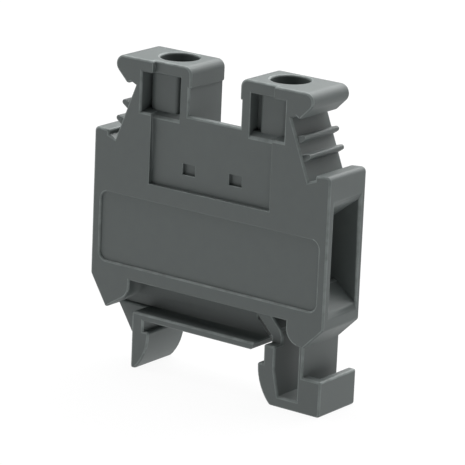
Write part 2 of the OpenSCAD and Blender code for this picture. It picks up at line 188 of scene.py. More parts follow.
# %% Weigh the outer edges
def weigh_edges(piece, radius_of):
    """Sets the weight of every outer edge, and returns the widest radius and how many there are."""
    net = open_mesh(piece, "EDGE")
    weight = net.edges.layers.float.new("bevel_weight_edge")
    radius = {}
    for edge in net.edges:
        if is_sharp(edge) and edge.is_convex:
            room = min(room_beside(edge, face) for face in edge.link_faces)
            radius[edge] = min(radius_of(edge), room)
    even_out(net, radius)
    width, rounded = max(radius.values()), len(radius)
    for edge in radius:
        edge[weight] = radius[edge] / width
    bmesh.update_edit_mesh(piece.data)
    close_mesh()
    return width, rounded


# %% [markdown]
# Now the Bevel modifier can do its work. Weighted normals keep the large faces flat beside the new
# strips, and each strip is marked, so that a finish can paint a highlight on it. The modifier gives
# its strips a material slot of their own, which is how they are found.

# %% Round the outer edges and mark the strips
SMOOTH = math.radians(40)
PLAIN_SLOT, STRIP_SLOT = 0, 1


def mark_faces(piece, values):
    """Stores one number per face: how strong a painted highlight a finish puts on it."""
    mark = piece.data.attributes.new("rounded_edge", "FLOAT", "FACE")
    mark.data.foreach_set("value", values)


def smooth_faces(piece, angle):
    """Shades a piece smooth up to an angle, with normals that follow its larger faces."""
    pick_object(piece)
    bpy.ops.object.shade_smooth_by_angle(angle=angle)
    even = piece.modifiers.new("flat faces", "WEIGHTED_NORMAL")
    even.keep_sharp = True
    apply_all(piece)


def round_edges(piece, radius_of, segments=3):
    """Rounds every outer edge of a closed mesh and marks the new strips in an attribute."""
    width, rounded = weigh_edges(piece, radius_of)
    bevel = piece.modifiers.new("mould radius", "BEVEL")
    bevel.limit_method = "WEIGHT"
    bevel.offset_type = "OFFSET"
    bevel.width = width
    bevel.segments = segments
    bevel.use_clamp_overlap = False
    bevel.loop_slide = False
    bevel.material = STRIP_SLOT
    piece.data.materials.clear()
    piece.data.materials.append(None)
    piece.data.materials.append(None)
    apply_all(piece)
    strips = [polygon.material_index == STRIP_SLOT for polygon in piece.data.polygons]
    mark_faces(piece, [float(strip) for strip in strips])
    for polygon in piece.data.polygons:
        polygon.material_index = PLAIN_SLOT
    piece.data.materials.clear()
    smooth_faces(piece, SMOOTH)
    print(piece.name, "edges rounded:", rounded, "strips:", sum(strips), "faces:", len(strips))


# %% [markdown]
# ## The moulded housing
#
# The housing is one moulding, so it stays one piece. Its outline, ribs, windows and feet are exact
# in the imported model, and drawing them again would only lose sizes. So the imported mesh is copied,
# its loose triangles are merged, flat neighbours are dissolved into whole faces, and then the mould
# radius goes on.

# %% Copy the housing
WELD, FLAT = 0.001 * MM, math.radians(0.6)

housing = bpy.data.objects.new("moulded_housing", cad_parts["housing"].data.copy())
bpy.context.scene.collection.objects.link(housing)
open_mesh(housing)
bpy.ops.mesh.select_all(action="SELECT")
bpy.ops.mesh.remove_doubles(threshold=WELD)
bpy.ops.mesh.dissolve_limited(angle_limit=FLAT)
close_mesh()
print("housing faces:", len(housing.data.polygons))

# %% [markdown]
# Each tower has a window, and its floor rises a little towards the back, so that it catches the
# light as a pale sill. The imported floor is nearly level. Its back points are selected by their
# place and lifted.

# %% Lift the back of the window floors
NEAR = 0.01 * MM
WINDOW_INNER, WINDOW_SIDE = 4.3 * MM, 8.8 * MM
WINDOW_FOOT, WINDOW_TOP = 26.9 * MM, 31.0 * MM
GUIDE_FRONT = packed_box[0].y + 1.15 * MM
SILL_FRONT, SILL_BACK = GUIDE_FRONT - 0.1 * MM, GUIDE_FRONT + 1.0 * MM
SILL_RISE = 0.2 * MM

net = open_mesh(housing, "VERT")
lifted = pick_parts(housing, net.verts, lambda v: (
    abs(v.co.z - WINDOW_FOOT) < NEAR and SILL_FRONT < v.co.y < SILL_BACK
    and WINDOW_INNER - NEAR < abs(v.co.x) < WINDOW_SIDE + NEAR))
bpy.ops.transform.translate(value=(0, 0, SILL_RISE))
close_mesh()
print("points of the window floors lifted:", lifted)

# %% [markdown]
# Some forms are easiest to draw as a flat section: a circle with as many points as the section has
# corners, each point put in its place, then filled and extruded. The result can be a piece of its
# own, or a cutter for a Boolean modifier. An extruded face can look inwards, and a cut can leave
# doubled points. A helper mends both.

# %% Extrude a section, and cut with it
FINE_WELD = 0.0005 * MM


def face_outwards(piece):
    """Merges doubled points and turns all faces outwards."""
    open_mesh(piece)
    bpy.ops.mesh.select_all(action="SELECT")
    bpy.ops.mesh.remove_doubles(threshold=FINE_WELD)
    bpy.ops.mesh.normals_make_consistent(inside=False)
    close_mesh()


def extrude_section(name, points, run):
    """Draws a flat section from its corner points, fills it and extrudes it along run."""
    bpy.ops.object.select_all(action="DESELECT")
    bpy.ops.mesh.primitive_circle_add(vertices=len(points), fill_type="NGON")
    piece = bpy.context.object
    piece.name = name
    for vertex, place in zip(piece.data.vertices, points):
        vertex.co = place
    open_mesh(piece)
    bpy.ops.mesh.select_all(action="SELECT")
    bpy.ops.mesh.extrude_region_move(TRANSFORM_OT_translate={"value": run})
    close_mesh()
    face_outwards(piece)
    return piece


def cut_with(piece, tool):
    """Cuts the tool's shape out of a piece and removes the tool."""
    modifier = piece.modifiers.new("cut", "BOOLEAN")
    modifier.operation = "DIFFERENCE"
    modifier.solver = "EXACT"
    modifier.object = tool
    apply_all(piece)
    bpy.data.objects.remove(tool)


# %% [markdown]
# In each window stands the guide for the screwdriver. Its outer side is round, so a narrow dark gap
# shows between the guide and the side of the window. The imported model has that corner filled,
# because it matters only for looks. The cutter's section follows the guide's round side and the
# window's corner, and it is extruded to the window's height.

# %% Open the gap beside each screw guide
GUIDE_ROUND = 1.2 * MM
GAP_RUN, GAP_LEAD = 1.1 * MM, 0.2 * MM
LAST_TURN = math.asin(GAP_RUN / GUIDE_ROUND)
GUIDE_STEPS = 8

for side in (-1, 1):
    plan = [(x, GUIDE_FRONT - GAP_LEAD) for x in (WINDOW_SIDE, WINDOW_SIDE - GAP_RUN)]
    for i in range(GUIDE_STEPS + 1):
        turn = LAST_TURN * i / GUIDE_STEPS
        plan.append((WINDOW_SIDE - GAP_RUN + GUIDE_ROUND * math.sin(turn),
                     GUIDE_FRONT + GUIDE_ROUND * (1 - math.cos(turn))))
    gap_foot = WINDOW_FOOT + SILL_RISE
    gap_cutter = extrude_section(
        "gap_cutter", [(side * x, y, gap_foot) for x, y in plan], (0, 0, WINDOW_TOP - gap_foot))
    cut_with(housing, gap_cutter)
print("housing faces with both gaps:", len(housing.data.polygons))

# %% [markdown]
# Not every edge of the moulding has the same radius. The ends of the grip ribs, the small pockets
# and the sides of the upper field are crisp, because parts of the mould meet there, and the lips of
# each wire funnel are well rounded to lead the wire in. A small function knows those edges by their
# place, and all the others get the common radius.

# %% Choose a radius for each edge of the housing
MOULD_RADIUS, CRISP_RADIUS, LIP_RADIUS = 0.22 * MM, 0.06 * MM, 0.5 * MM
RIB_END = packed_box[1].y - 0.25 * MM
RIB_INNER, RIB_LOW, RIB_HIGH = 9.0 * MM, 24.0 * MM, 30.0 * MM
FIELD_FACE, FIELD_SIDE, FIELD_FOOT = packed_box[0].y + 0.5 * MM, 7.45 * MM, 19.7 * MM
POCKET_PLACE, POCKET_HALF, POCKET_LOW, POCKET_HIGH = 2.88 * MM, 0.78 * MM, 21.3 * MM, 22.42 * MM
LIP_HEIGHTS = (10.4 * MM, 21.5 * MM)
LIP_FRONT, LIP_BACK = packed_box[0].y + 0.95 * MM, packed_box[1].y - 0.7 * MM


def on_rib_end(place):
    return (abs(abs(place.y) - RIB_END) < NEAR and abs(place.x) > RIB_INNER
            and RIB_LOW < place.z < RIB_HIGH)


def on_pocket(place):
    return (abs(place.y - FIELD_FACE) < NEAR and abs(abs(place.x) - POCKET_PLACE) < POCKET_HALF + NEAR
            and POCKET_LOW - NEAR < place.z < POCKET_HIGH + NEAR)


def on_field_side(place):
    return (abs(abs(place.x) - FIELD_SIDE) < NEAR and abs(place.y - packed_box[0].y) < NEAR
            and place.z > FIELD_FOOT - NEAR)


def on_lip(place, reach):
    return (abs(place.x) > packed_box[1].x - reach - NEAR
            and LIP_FRONT - NEAR < place.y < LIP_BACK + NEAR
            and min(abs(place.z - height) for height in LIP_HEIGHTS) < reach + NEAR)


def housing_radius(edge):
    for crisp in (on_rib_end, on_pocket, on_field_side):
        if all(crisp(vert.co) for vert in edge.verts):
            return CRISP_RADIUS
    if all(on_lip(vert.co, 0.0) for vert in edge.verts):
        return LIP_RADIUS
    return MOULD_RADIUS


# %% [markdown]
# Each rounded edge of the block gets a painted highlight. The lips of the funnels and the edges
# that look down get none, and the edges round the open back keep only a little.

# %% Round the housing and set its painted edge highlight
LOOKS_DOWN, BACK_HIGHLIGHT = -0.25, 0.3

round_edges(housing, housing_radius)
# the painted highlight is taken off some strips and lessened round the back
polish = housing.data.attributes["rounded_edge"].data
plain = [polygon.index for polygon in housing.data.polygons
         if polygon.normal.z < LOOKS_DOWN or on_lip(polygon.center, LIP_RADIUS)]
back = [polygon.index for polygon in housing.data.polygons
        if polygon.center.y > packed_box[1].y - MOULD_RADIUS]
for index in back:
    polish[index].value *= BACK_HIGHLIGHT
for index in plain:
    polish[index].value = 0.0
print("faces without polish:", len(plain), "with little polish:", len(back))

# %% [markdown]
# ## The current bar
#
# A flat brass bar carries the current from clamp to clamp. It starts as a cube that gets the size
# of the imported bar, and its place and scale are then written into its mesh, so that the object
# itself sits at the origin.

# %% Size the brass bar
bar_low, bar_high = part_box("current_bar")


def settle(piece):
    """Writes an object's place, turn and scale into its mesh."""
    pick_object(piece)
    bpy.ops.object.transform_apply(location=True, rotation=True, scale=True)


bpy.ops.object.select_all(action="DESELECT")
bpy.ops.mesh.primitive_cube_add(size=1, location=(bar_low + bar_high) / 2)
bar = bpy.context.object
bar.name = "brass_current_bar"
bar.scale = bar_high - bar_low
settle(bar)
print("bar in mm:", [round(side / MM, 2) for side in bar_high - bar_low])

# %% [markdown]
# On the real bar, small grooves across the underside bite into the wire. Bisect cuts the bar where
# the grooves run, and the middle edge of each groove is lifted. The lower edge at each end is
# chamfered to lead the wire in, and all edges get the small radius of a stamped strip.

# %% Cut grooves across its underside
CLAMP_X = 6.8 * MM
GROOVE_STEP, GROOVE_HALF, GROOVE_DEPTH = 0.85 * MM, 0.2 * MM, 0.15 * MM
GROOVES_EACH_WAY = 2
BAR_RADIUS, BAR_CHAMFER = 0.07 * MM, 0.3 * MM

groove_places = [side * CLAMP_X + step * GROOVE_STEP for side in (-1, 1)
                 for step in range(-GROOVES_EACH_WAY, GROOVES_EACH_WAY + 1)]
for place in groove_places:
    for shift in (-GROOVE_HALF, 0, GROOVE_HALF):
        open_mesh(bar)
        bpy.ops.mesh.select_all(action="SELECT")
        bpy.ops.mesh.bisect(plane_co=(place + shift, 0, 0), plane_no=(1, 0, 0))
        close_mesh()
net = open_mesh(bar, "EDGE")
grooves = pick_parts(bar, net.edges, lambda edge: all(
    abs(v.co.z - bar_low.z) < TOUCH and min(abs(v.co.x - p) for p in groove_places) < TOUCH
    for v in edge.verts))
bpy.ops.transform.translate(value=(0, 0, GROOVE_DEPTH))
bpy.ops.mesh.select_all(action="DESELECT")
net = bmesh.from_edit_mesh(bar.data)
corners = pick_parts(bar, net.edges, lambda edge: all(
    abs(v.co.z - bar_low.z) < TOUCH and abs(abs(v.co.x) - bar_high.x) < TOUCH for v in edge.verts))
bpy.ops.mesh.bevel(offset=BAR_CHAMFER, segments=1, affect="EDGES")
close_mesh()
face_outwards(bar)
round_edges(bar, lambda edge: BAR_RADIUS, segments=2)
print("grooves:", grooves, "chamfered corners:", corners)

# %% [markdown]
# ## The clamp cages
#
# Each cage is a strip of steel folded round into a box. Its two ends lie on each other at the top,
# and the screw's thread runs through both, so a fine seam shows at the end and on one side. The
# folded section is drawn flat, with an arc at each bend, and extruded to the cage's length.

# %% Draw the folded section of a cage
cage_low, cage_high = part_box("right_clamp_cage")
SCREW_Y = (cage_low.y + cage_high.y) / 2
STRIP, SEAM, END_GAP = 0.7 * MM, 0.03 * MM, 0.05 * MM
BEND, BEND_TURN, BEND_STEPS = 0.6 * MM, -90, 6
ROOF_LOW = cage_high.z - 2 * STRIP


def bend_points(y, z, start):
    """An arc of the strip's outer side round a centre, from the angle start, clockwise."""
    angles = [math.radians(start + BEND_TURN * i / BEND_STEPS) for i in range(BEND_STEPS + 1)]
    return [(y + BEND * math.cos(a), z + BEND * math.sin(a)) for a in angles]


half = (cage_high.y - cage_low.y) / 2
inner = half - STRIP
lap = cage_high.z - STRIP
section = (
    [(-half + END_GAP, cage_high.z)]
    + bend_points(half - BEND, cage_high.z - BEND, 90)
    + bend_points(half - BEND, cage_low.z + BEND, 0)
    + bend_points(-half + BEND, cage_low.z + BEND, -90)
    + bend_points(-half + BEND, lap - SEAM / 2 - BEND, 180)
    + [(inner - END_GAP, lap - SEAM / 2), (inner - END_GAP, ROOF_LOW), (-inner, ROOF_LOW),
       (-inner, cage_low.z + STRIP), (inner, cage_low.z + STRIP), (inner, lap + SEAM / 2),
       (-half + END_GAP, lap + SEAM / 2)])

cage = extrude_section("right_folded_cage", [(cage_low.x, SCREW_Y + y, z) for y, z in section],
                       (cage_high.x - cage_low.x, 0, 0))
print("section points:", len(section), "cage faces:", len(cage.data.polygons))

# %% [markdown]
# The wire lies on the cage's floor, and cross ribs there hold it. The floor is cut by bisect, and
# every second edge is lifted into a ridge.

# %% Raise the grip ribs
RIB_STEP, RIB_RISE, LINES_EACH_WAY = 0.45 * MM, 0.2 * MM, 4
LOOKS_UP = 0.9
floor_z = cage_low.z + STRIP
rib_lines = [CLAMP_X + i * RIB_STEP for i in range(-LINES_EACH_WAY, LINES_EACH_WAY + 1)]
for line in rib_lines:
    net = open_mesh(cage)
    pick_parts(cage, net.faces, lambda face: face.normal.z > LOOKS_UP and all(
        abs(v.co.z - floor_z) < TOUCH for v in face.verts))
    bpy.ops.mesh.bisect(plane_co=(line, 0, 0), plane_no=(1, 0, 0))
    close_mesh()
net = open_mesh(cage, "EDGE")
ribs = pick_parts(cage, net.edges, lambda edge: all(
    abs(v.co.z - floor_z) < TOUCH and min(abs(v.co.x - line) for line in rib_lines[1::2]) < TOUCH
    for v in edge.verts))
bpy.ops.transform.translate(value=(0, 0, RIB_RISE))
close_mesh()
print("grip ribs:", ribs)

# %% [markdown]
# The screw hole goes through both layers of the top with a Boolean modifier, and the sheared edges
# get a small radius. The left cage is a copy of the right one.

# %% Drill the hole, round the cage and copy it
HOLE_RADIUS, HOLE_DEPTH, HOLE_STEPS = 1.55 * MM, 4 * STRIP, 48
STRIP_RADIUS = 0.06 * MM


def copy_along(piece, name, shift):
    """Copies a piece, with a mesh of its own, to another place."""
    twin = piece.copy()
    twin.data = piece.data.copy()
    twin.name = name
    bpy.context.scene.collection.objects.link(twin)
    twin.location = shift
    settle(twin)
    return twin


bpy.ops.object.select_all(action="DESELECT")
bpy.ops.mesh.primitive_cylinder_add(
    vertices=HOLE_STEPS, radius=HOLE_RADIUS, depth=HOLE_DEPTH,
    location=(CLAMP_X, SCREW_Y, cage_high.z - STRIP))
cut_with(cage, bpy.context.object)
face_outwards(cage)
round_edges(cage, lambda edge: STRIP_RADIUS, segments=2)
left_cage = copy_along(cage, "left_folded_cage", (-2 * CLAMP_X, 0, 0))
print("cage faces:", len(cage.data.polygons), "copied to", left_cage.name)

# %% [markdown]
# ## The clamp screws
#
# A machine screw's thread is one V groove that winds up the shank. The Screw modifier winds a small
# zigzag of edges into just that, one pitch for each turn. The zigzag is a circle whose points are
# moved and whose long closing edge is deleted.

# %% Wind the thread
screw_low, screw_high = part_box("right_clamp_screw")
PITCH, TURNS, STEPS_PER_TURN = 0.5 * MM, 12, 40
RUN_IN = 1.5 * PITCH
SHANK, ROOT = 1.5 * MM, 1.19 * MM
ROOT_HALF, CREST_HALF, CLOSING_EDGE = 0.06 * MM, 0.03 * MM, 0.45 * MM
zigzag = [(ROOT, 0), (ROOT, ROOT_HALF), (SHANK, PITCH / 2 - CREST_HALF),
          (SHANK, PITCH / 2 + CREST_HALF), (ROOT, PITCH - ROOT_HALF), (ROOT, PITCH)]

bpy.ops.object.select_all(action="DESELECT")
bpy.ops.mesh.primitive_circle_add(vertices=len(zigzag), radius=SHANK)
screw = bpy.context.object
screw.name = "right_slotted_screw"
for point, (x, rise) in zip(screw.data.vertices, zigzag):
    point.co = (x, 0, rise)
net = open_mesh(screw, "EDGE")
pick_parts(screw, net.edges, lambda edge: edge.calc_length() > CLOSING_EDGE)
bpy.ops.mesh.delete(type="EDGE")
close_mesh()
wind = screw.modifiers.new("thread", "SCREW")
wind.axis = "Z"
wind.angle = math.tau
wind.screw_offset = PITCH
wind.iterations = TURNS
wind.steps = wind.render_steps = STEPS_PER_TURN
wind.use_merge_vertices = True
wind.merge_threshold = WELD
apply_all(screw)
screw.location = (CLAMP_X, SCREW_Y, screw_low.z - RUN_IN)
settle(screw)
face_outwards(screw)
print("wound faces:", len(screw.data.polygons))

# %% [markdown]
# The wound surface is cut square at both ends with bisect, which also fills the cuts. Bisect takes
# points within a tenth of a millimetre for points on its plane, which is too coarse for a thread
# this fine, so it gets a threshold of its own. The first threads are tapered, so that the screw
# finds its way in.

# %% Cut the thread square and taper its start
HEAD_LOW = screw_high.z - 1.9 * MM
THREAD_TOP, FINE_CUT = HEAD_LOW + 0.3 * MM, 1e-5 * MM
TAPER, TAPER_SHARE = 0.3 * MM, 0.2

for height, upward in ((screw_low.z, False), (THREAD_TOP, True)):
    open_mesh(screw)
    bpy.ops.mesh.select_all(action="SELECT")
    bpy.ops.mesh.bisect(plane_co=(0, 0, height), plane_no=(0, 0, 1), use_fill=True,
                        threshold=FINE_CUT, clear_inner=not upward, clear_outer=upward)
    close_mesh()
for point in screw.data.vertices:
    rise = point.co.z - screw_low.z
    if rise < TAPER:
        share = 1 - TAPER_SHARE * (1 - rise / TAPER)
        point.co.x = CLAMP_X + (point.co.x - CLAMP_X) * share
        point.co.y = SCREW_Y + (point.co.y - SCREW_Y) * share
face_outwards(screw)
print("thread faces:", len(screw.data.polygons))

# %% [markdown]
# The head is a cheese head: a short cylinder with a rounded rim and a driver slot right across. A
# bevel after the cut would go ragged where the slot runs out, so the rim is bevelled first. The
# slot's cutter is drawn as a section with a flared mouth, so that the cut leaves the slot with
# chamfered edges.

# %% Cut the slotted head
HEAD_RADIUS, HEAD_STEPS = 2.2 * MM, 64
RIM_RADIUS, RIM_STEPS = 0.18 * MM, 4
SLOT_HALF, SLOT_DEPTH, SLOT_FLARE, ABOVE = 0.35 * MM, 0.95 * MM, 0.09 * MM, 0.3 * MM
SLOT_RUN = 3 * HEAD_RADIUS

bpy.ops.object.select_all(action="DESELECT")
bpy.ops.mesh.primitive_cylinder_add(
    vertices=HEAD_STEPS, radius=HEAD_RADIUS, depth=screw_high.z - HEAD_LOW,
    location=(CLAMP_X, SCREW_Y, (screw_high.z + HEAD_LOW) / 2))
head = bpy.context.object
head.name = "screw_head"
settle(head)
net = open_mesh(head, "EDGE")
rims = pick_parts(
    head, net.edges, lambda edge: abs(edge.verts[0].co.z - edge.verts[1].co.z) < NEAR)
bpy.ops.mesh.bevel(offset=RIM_RADIUS, segments=RIM_STEPS, affect="EDGES")
close_mesh()
mouth = SLOT_HALF + SLOT_FLARE + ABOVE
slot_section = [(-mouth, ABOVE), (-SLOT_HALF, -SLOT_FLARE), (-SLOT_HALF, -SLOT_DEPTH),
                (SLOT_HALF, -SLOT_DEPTH), (SLOT_HALF, -SLOT_FLARE), (mouth, ABOVE)]
slot_cutter = extrude_section(
    "slot_cutter",
    [(CLAMP_X - SLOT_RUN / 2, SCREW_Y + y, screw_high.z + rise) for y, rise in slot_section],
    (SLOT_RUN, 0, 0))
cut_with(head, slot_cutter)
face_outwards(head)
print("rim edges:", rims, "head faces:", len(head.data.polygons))

# %% [markdown]
# The rim, the slot's chamfers and, less, the flat lands of the thread get a painted highlight. Those
# faces are known by their slant. Then head and thread become one object, and the left screw is its
# copy.

# %% Mark the painted highlight, join the screw and copy it
SLANT_LEAST, SLANT_MOST = 0.05, 0.98
LAND_SLANT, LAND_HIGHLIGHT = 0.3, 0.35
SCREW_SMOOTH = math.radians(30)

mark_faces(head, [float(SLANT_LEAST < abs(p.normal.z) < SLANT_MOST) for p in head.data.polygons])
smooth_faces(head, SCREW_SMOOTH)
mark_faces(screw, [LAND_HIGHLIGHT if abs(p.normal.z) < LAND_SLANT else 0.0 for p in screw.data.polygons])
pick_object(screw)
bpy.ops.object.shade_smooth_by_angle(angle=SCREW_SMOOTH)
head.select_set(True)
bpy.ops.object.join()
left_screw = copy_along(screw, "left_slotted_screw", (-2 * CLAMP_X, 0, 0))
print("screw faces:", len(screw.data.polygons))

# %% [markdown]
# ## Effects that the finishes share
#
# Plastic and metal both have slow changes of tone and a fine grain, and their rounded edges get a
# painted highlight. Each of these is a node group with named inputs, built once and placed in every
# material with its own values.

# %% Start a node group
def new_group(name, inputs, outputs):
    group = bpy.data.node_groups.new(name, "ShaderNodeTree")
    for label, kind, value in inputs:
        socket = group.interface.new_socket(name=label, in_out="INPUT", socket_type=kind)
        socket.default_value = value
    for label, kind in outputs:
        group.interface.new_socket(name=label, in_out="OUTPUT", socket_type=kind)
    entry = group.nodes.new("NodeGroupInput")
    leave = group.nodes.new("NodeGroupOutput")
    return group, entry.outputs, leave.inputs


def add_node(tree, kind, **settings):
    node = tree.nodes.new(kind)
    for key, value in settings.items():
        setattr(node, key, value)
    return node


# %% [markdown]
# No surface is quite even. A soft noise on the object's own coordinates gives a mask that drifts
# slowly between two tones. Its contrast is spread about the middle grey and clamped.

# %% Slow drift of tone
MIDDLE = 0.5


def tone_drift_group():
    group, given, result = new_group(
        "tone_drift",
        [("Scale", "NodeSocketFloat", 600.0), ("Contrast", "NodeSocketFloat", 1.0)],
        [("Mask", "NodeSocketFloat")])
    place = add_node(group, "ShaderNodeTexCoord")
    clouds = add_node(group, "ShaderNodeTexNoise")
    clouds.inputs["Detail"].default_value = 4.0
    clouds.inputs["Roughness"].default_value = 0.55
    centre = add_node(group, "ShaderNodeMath", operation="SUBTRACT")
    centre.inputs[1].default_value = MIDDLE
    spread = add_node(group, "ShaderNodeMath", operation="MULTIPLY_ADD", use_clamp=True)
    spread.inputs[2].default_value = MIDDLE
    group.links.new(place.outputs["Object"], clouds.inputs["Vector"])
    group.links.new(given["Scale"], clouds.inputs["Scale"])
    group.links.new(clouds.outputs["Fac"], centre.inputs[0])
    group.links.new(centre.outputs[0], spread.inputs[0])
    group.links.new(given["Contrast"], spread.inputs[1])
    group.links.new(spread.outputs[0], result["Mask"])
    return group


TONE_DRIFT = tone_drift_group()
print("node group:", TONE_DRIFT.name)

# %% [markdown]
# A moulded face has a fine even grain, and rolled or drawn metal has lines. Both are a much finer
# noise, and the lines come from coordinates that are stretched along one direction.

# %% Fine grain
def fine_grain_group():
    group, given, result = new_group(
        "fine_grain",
        [("Scale", "NodeSocketFloat", 9000.0), ("Stretch", "NodeSocketVector", (1.0, 1.0, 1.0))],
        [("Height", "NodeSocketFloat")])
    place = add_node(group, "ShaderNodeTexCoord")
    stretch = add_node(group, "ShaderNodeVectorMath", operation="MULTIPLY")
    grain = add_node(group, "ShaderNodeTexNoise")
    grain.inputs["Detail"].default_value = 2.0
    group.links.new(place.outputs["Object"], stretch.inputs[0])
    group.links.new(given["Stretch"], stretch.inputs[1])
    group.links.new(stretch.outputs["Vector"], grain.inputs["Vector"])
    group.links.new(given["Scale"], grain.inputs["Scale"])
    group.links.new(grain.outputs["Fac"], result["Height"])
    return group


FINE_GRAIN = fine_grain_group()
print("node group:", FINE_GRAIN.name)

# %% [markdown]
# The rounded strips were marked face by face. The mark is multiplied by a patchy noise, so that the
# painted highlight on an edge is stronger in some places than in others.

# %% Painted highlight on the edges
def painted_edge_highlight_group():
    group, given, result = new_group(
        "painted_edge_highlight",
        [("Scale", "NodeSocketFloat", 900.0), ("Amount", "NodeSocketFloat", 1.0)],
        [("Mask", "NodeSocketFloat")])
    strip = add_node(group, "ShaderNodeAttribute", attribute_name="rounded_edge")
    place = add_node(group, "ShaderNodeTexCoord")
    patchy = add_node(group, "ShaderNodeTexNoise")
    patchy.inputs["Detail"].default_value = 3.0
    highlight_node = add_node(group, "ShaderNodeMapRange")
    highlight_node.inputs["From Min"].default_value = 0.3
    highlight_node.inputs["From Max"].default_value = 0.6
    highlight_node.inputs["To Min"].default_value = 0.35
    both = add_node(group, "ShaderNodeMath", operation="MULTIPLY")
    amount = add_node(group, "ShaderNodeMath", operation="MULTIPLY", use_clamp=True)
    group.links.new(place.outputs["Object"], patchy.inputs["Vector"])
    group.links.new(given["Scale"], patchy.inputs["Scale"])
    group.links.new(patchy.outputs["Fac"], highlight_node.inputs["Value"])
    group.links.new(strip.outputs["Fac"], both.inputs[0])
    group.links.new(highlight_node.outputs["Result"], both.inputs[1])
    group.links.new(both.outputs[0], amount.inputs[0])
    group.links.new(given["Amount"], amount.inputs[1])
    group.links.new(amount.outputs[0], result["Mask"])
    return group


PAINTED_EDGE_HIGHLIGHT = painted_edge_highlight_group()
print("node group:", PAINTED_EDGE_HIGHLIGHT.name)

# %% [markdown]
# ## The finishes
#
# Plastic, brass and plated steel are mixed the same way: two tones drift into each other, the
# rounded edges are painted paler as a highlight, the gloss follows the drift and the grain is a bump.
# So one function builds every finish from the shared groups, and each call states what makes that
# finish its own.

# %% Build a finish from the shared groups
COLOUR_A, COLOUR_B, COLOUR_OUT = 6, 7, 2


def place_group(tree, group, **values):
    node = tree.nodes.new("ShaderNodeGroup")
    node.node_tree = group
    for label, value in values.items():
        node.inputs[label].default_value = value
    return node


def blend_colours(tree, mask, first, second):
    mix = add_node(tree, "ShaderNodeMix", data_type="RGBA")
    tree.links.new(mask, mix.inputs["Factor"])
    for socket, colour in ((mix.inputs[COLOUR_A], first), (mix.inputs[COLOUR_B], second)):
        if isinstance(colour, tuple):
            socket.default_value = (*colour, 1.0)
        else:
            tree.links.new(colour, socket)
    return mix.outputs[COLOUR_OUT]


def make_finish(name, dark, light, edge, metallic, rough, drift, grain, polish):
    material = bpy.data.materials.new(name)
    material.use_nodes = True
    tree = material.node_tree
    surface = tree.nodes["Principled BSDF"]
    surface.inputs["Metallic"].default_value = metallic
    cloud = place_group(tree, TONE_DRIFT, **drift)
    highlight_node = place_group(tree, PAINTED_EDGE_HIGHLIGHT, **polish)
    lines = place_group(tree, FINE_GRAIN, Scale=grain["Scale"], Stretch=grain["Stretch"])
    tone = blend_colours(tree, cloud.outputs["Mask"], dark, light)
    # the edge colour is a painted highlight, laid on the rounded strips by their mask
    tone = blend_colours(tree, highlight_node.outputs["Mask"], tone, edge)
    tree.links.new(tone, surface.inputs["Base Color"])
    gloss = add_node(tree, "ShaderNodeMapRange")
    gloss.inputs["To Min"].default_value, gloss.inputs["To Max"].default_value = rough
    tree.links.new(cloud.outputs["Mask"], gloss.inputs["Value"])
    tree.links.new(gloss.outputs["Result"], surface.inputs["Roughness"])
    bump = add_node(tree, "ShaderNodeBump")
    bump.inputs["Strength"].default_value = grain["Strength"]
    bump.inputs["Distance"].default_value = grain["Depth"]
    tree.links.new(lines.outputs["Height"], bump.inputs["Height"])
    tree.links.new(bump.outputs["Normal"], surface.inputs["Normal"])
    return material


# %% [markdown]
# The housing is matt slate-grey polyamide, which drifts a little in tone and has the faint grain of
# an eroded mould. Its paler edge colour is a painted highlight on the rounded edges.

# %% Mix the plastic
slate_plastic = make_finish(
    "slate_polyamide", metallic=0.0, rough=(0.5, 0.6),
    dark=(0.094, 0.109, 0.107), light=(0.108, 0.124, 0.121), edge=(0.21, 0.238, 0.232),
    drift=dict(Scale=700.0, Contrast=1.6),
    grain=dict(Scale=11000.0, Stretch=(1.0, 1.0, 1.0), Strength=0.35, Depth=0.01 * MM),
    polish=dict(Scale=900.0, Amount=0.9))
print("finish:", slate_plastic.name)

# %% [markdown]
# The bar is rolled brass with lines along its length. Cages and screws are zinc-plated steel. The
# lines run round the fold of the cages, as the strip was rolled, and along the screws, as their
# wire was drawn. The paler edge colour of each metal is a painted highlight on its rounded edges.

# %% Mix the metals
rolled_brass = make_finish(
    "rolled_brass", metallic=1.0, rough=(0.26, 0.4),
    dark=(0.58, 0.42, 0.18), light=(0.68, 0.52, 0.25), edge=(0.76, 0.6, 0.33),
    drift=dict(Scale=900.0, Contrast=2.0),
    grain=dict(Scale=9000.0, Stretch=(0.06, 1.0, 1.0), Strength=0.4, Depth=0.01 * MM),
    polish=dict(Scale=1200.0, Amount=0.8))
plated_strip = make_finish(
    "plated_strip", metallic=1.0, rough=(0.3, 0.46),
    dark=(0.36, 0.37, 0.38), light=(0.45, 0.46, 0.47), edge=(0.57, 0.58, 0.59),
    drift=dict(Scale=1300.0, Contrast=2.2),
    grain=dict(Scale=9000.0, Stretch=(1.0, 0.1, 0.1), Strength=0.4, Depth=0.01 * MM),
    polish=dict(Scale=1500.0, Amount=0.8))
plated_screw = make_finish(
    "plated_screw", metallic=1.0, rough=(0.24, 0.38),
    dark=(0.37, 0.38, 0.38), light=(0.46, 0.47, 0.47), edge=(0.58, 0.59, 0.59),
    drift=dict(Scale=1600.0, Contrast=2.0),
    grain=dict(Scale=12000.0, Stretch=(1.0, 1.0, 0.2), Strength=0.3, Depth=0.008 * MM),
    polish=dict(Scale=1500.0, Amount=0.8))
print("finishes:", [metal.name for metal in (rolled_brass, plated_strip, plated_screw)])

# %% [markdown]
# ## Every piece on its body
#
# A piece moves with the body it rides on: the cages rise, the screws turn, and housing and bar
# stay. Each piece also hides the imported node that it stands for. The table also gives the slot its
# finish belongs to, which nothing reads.

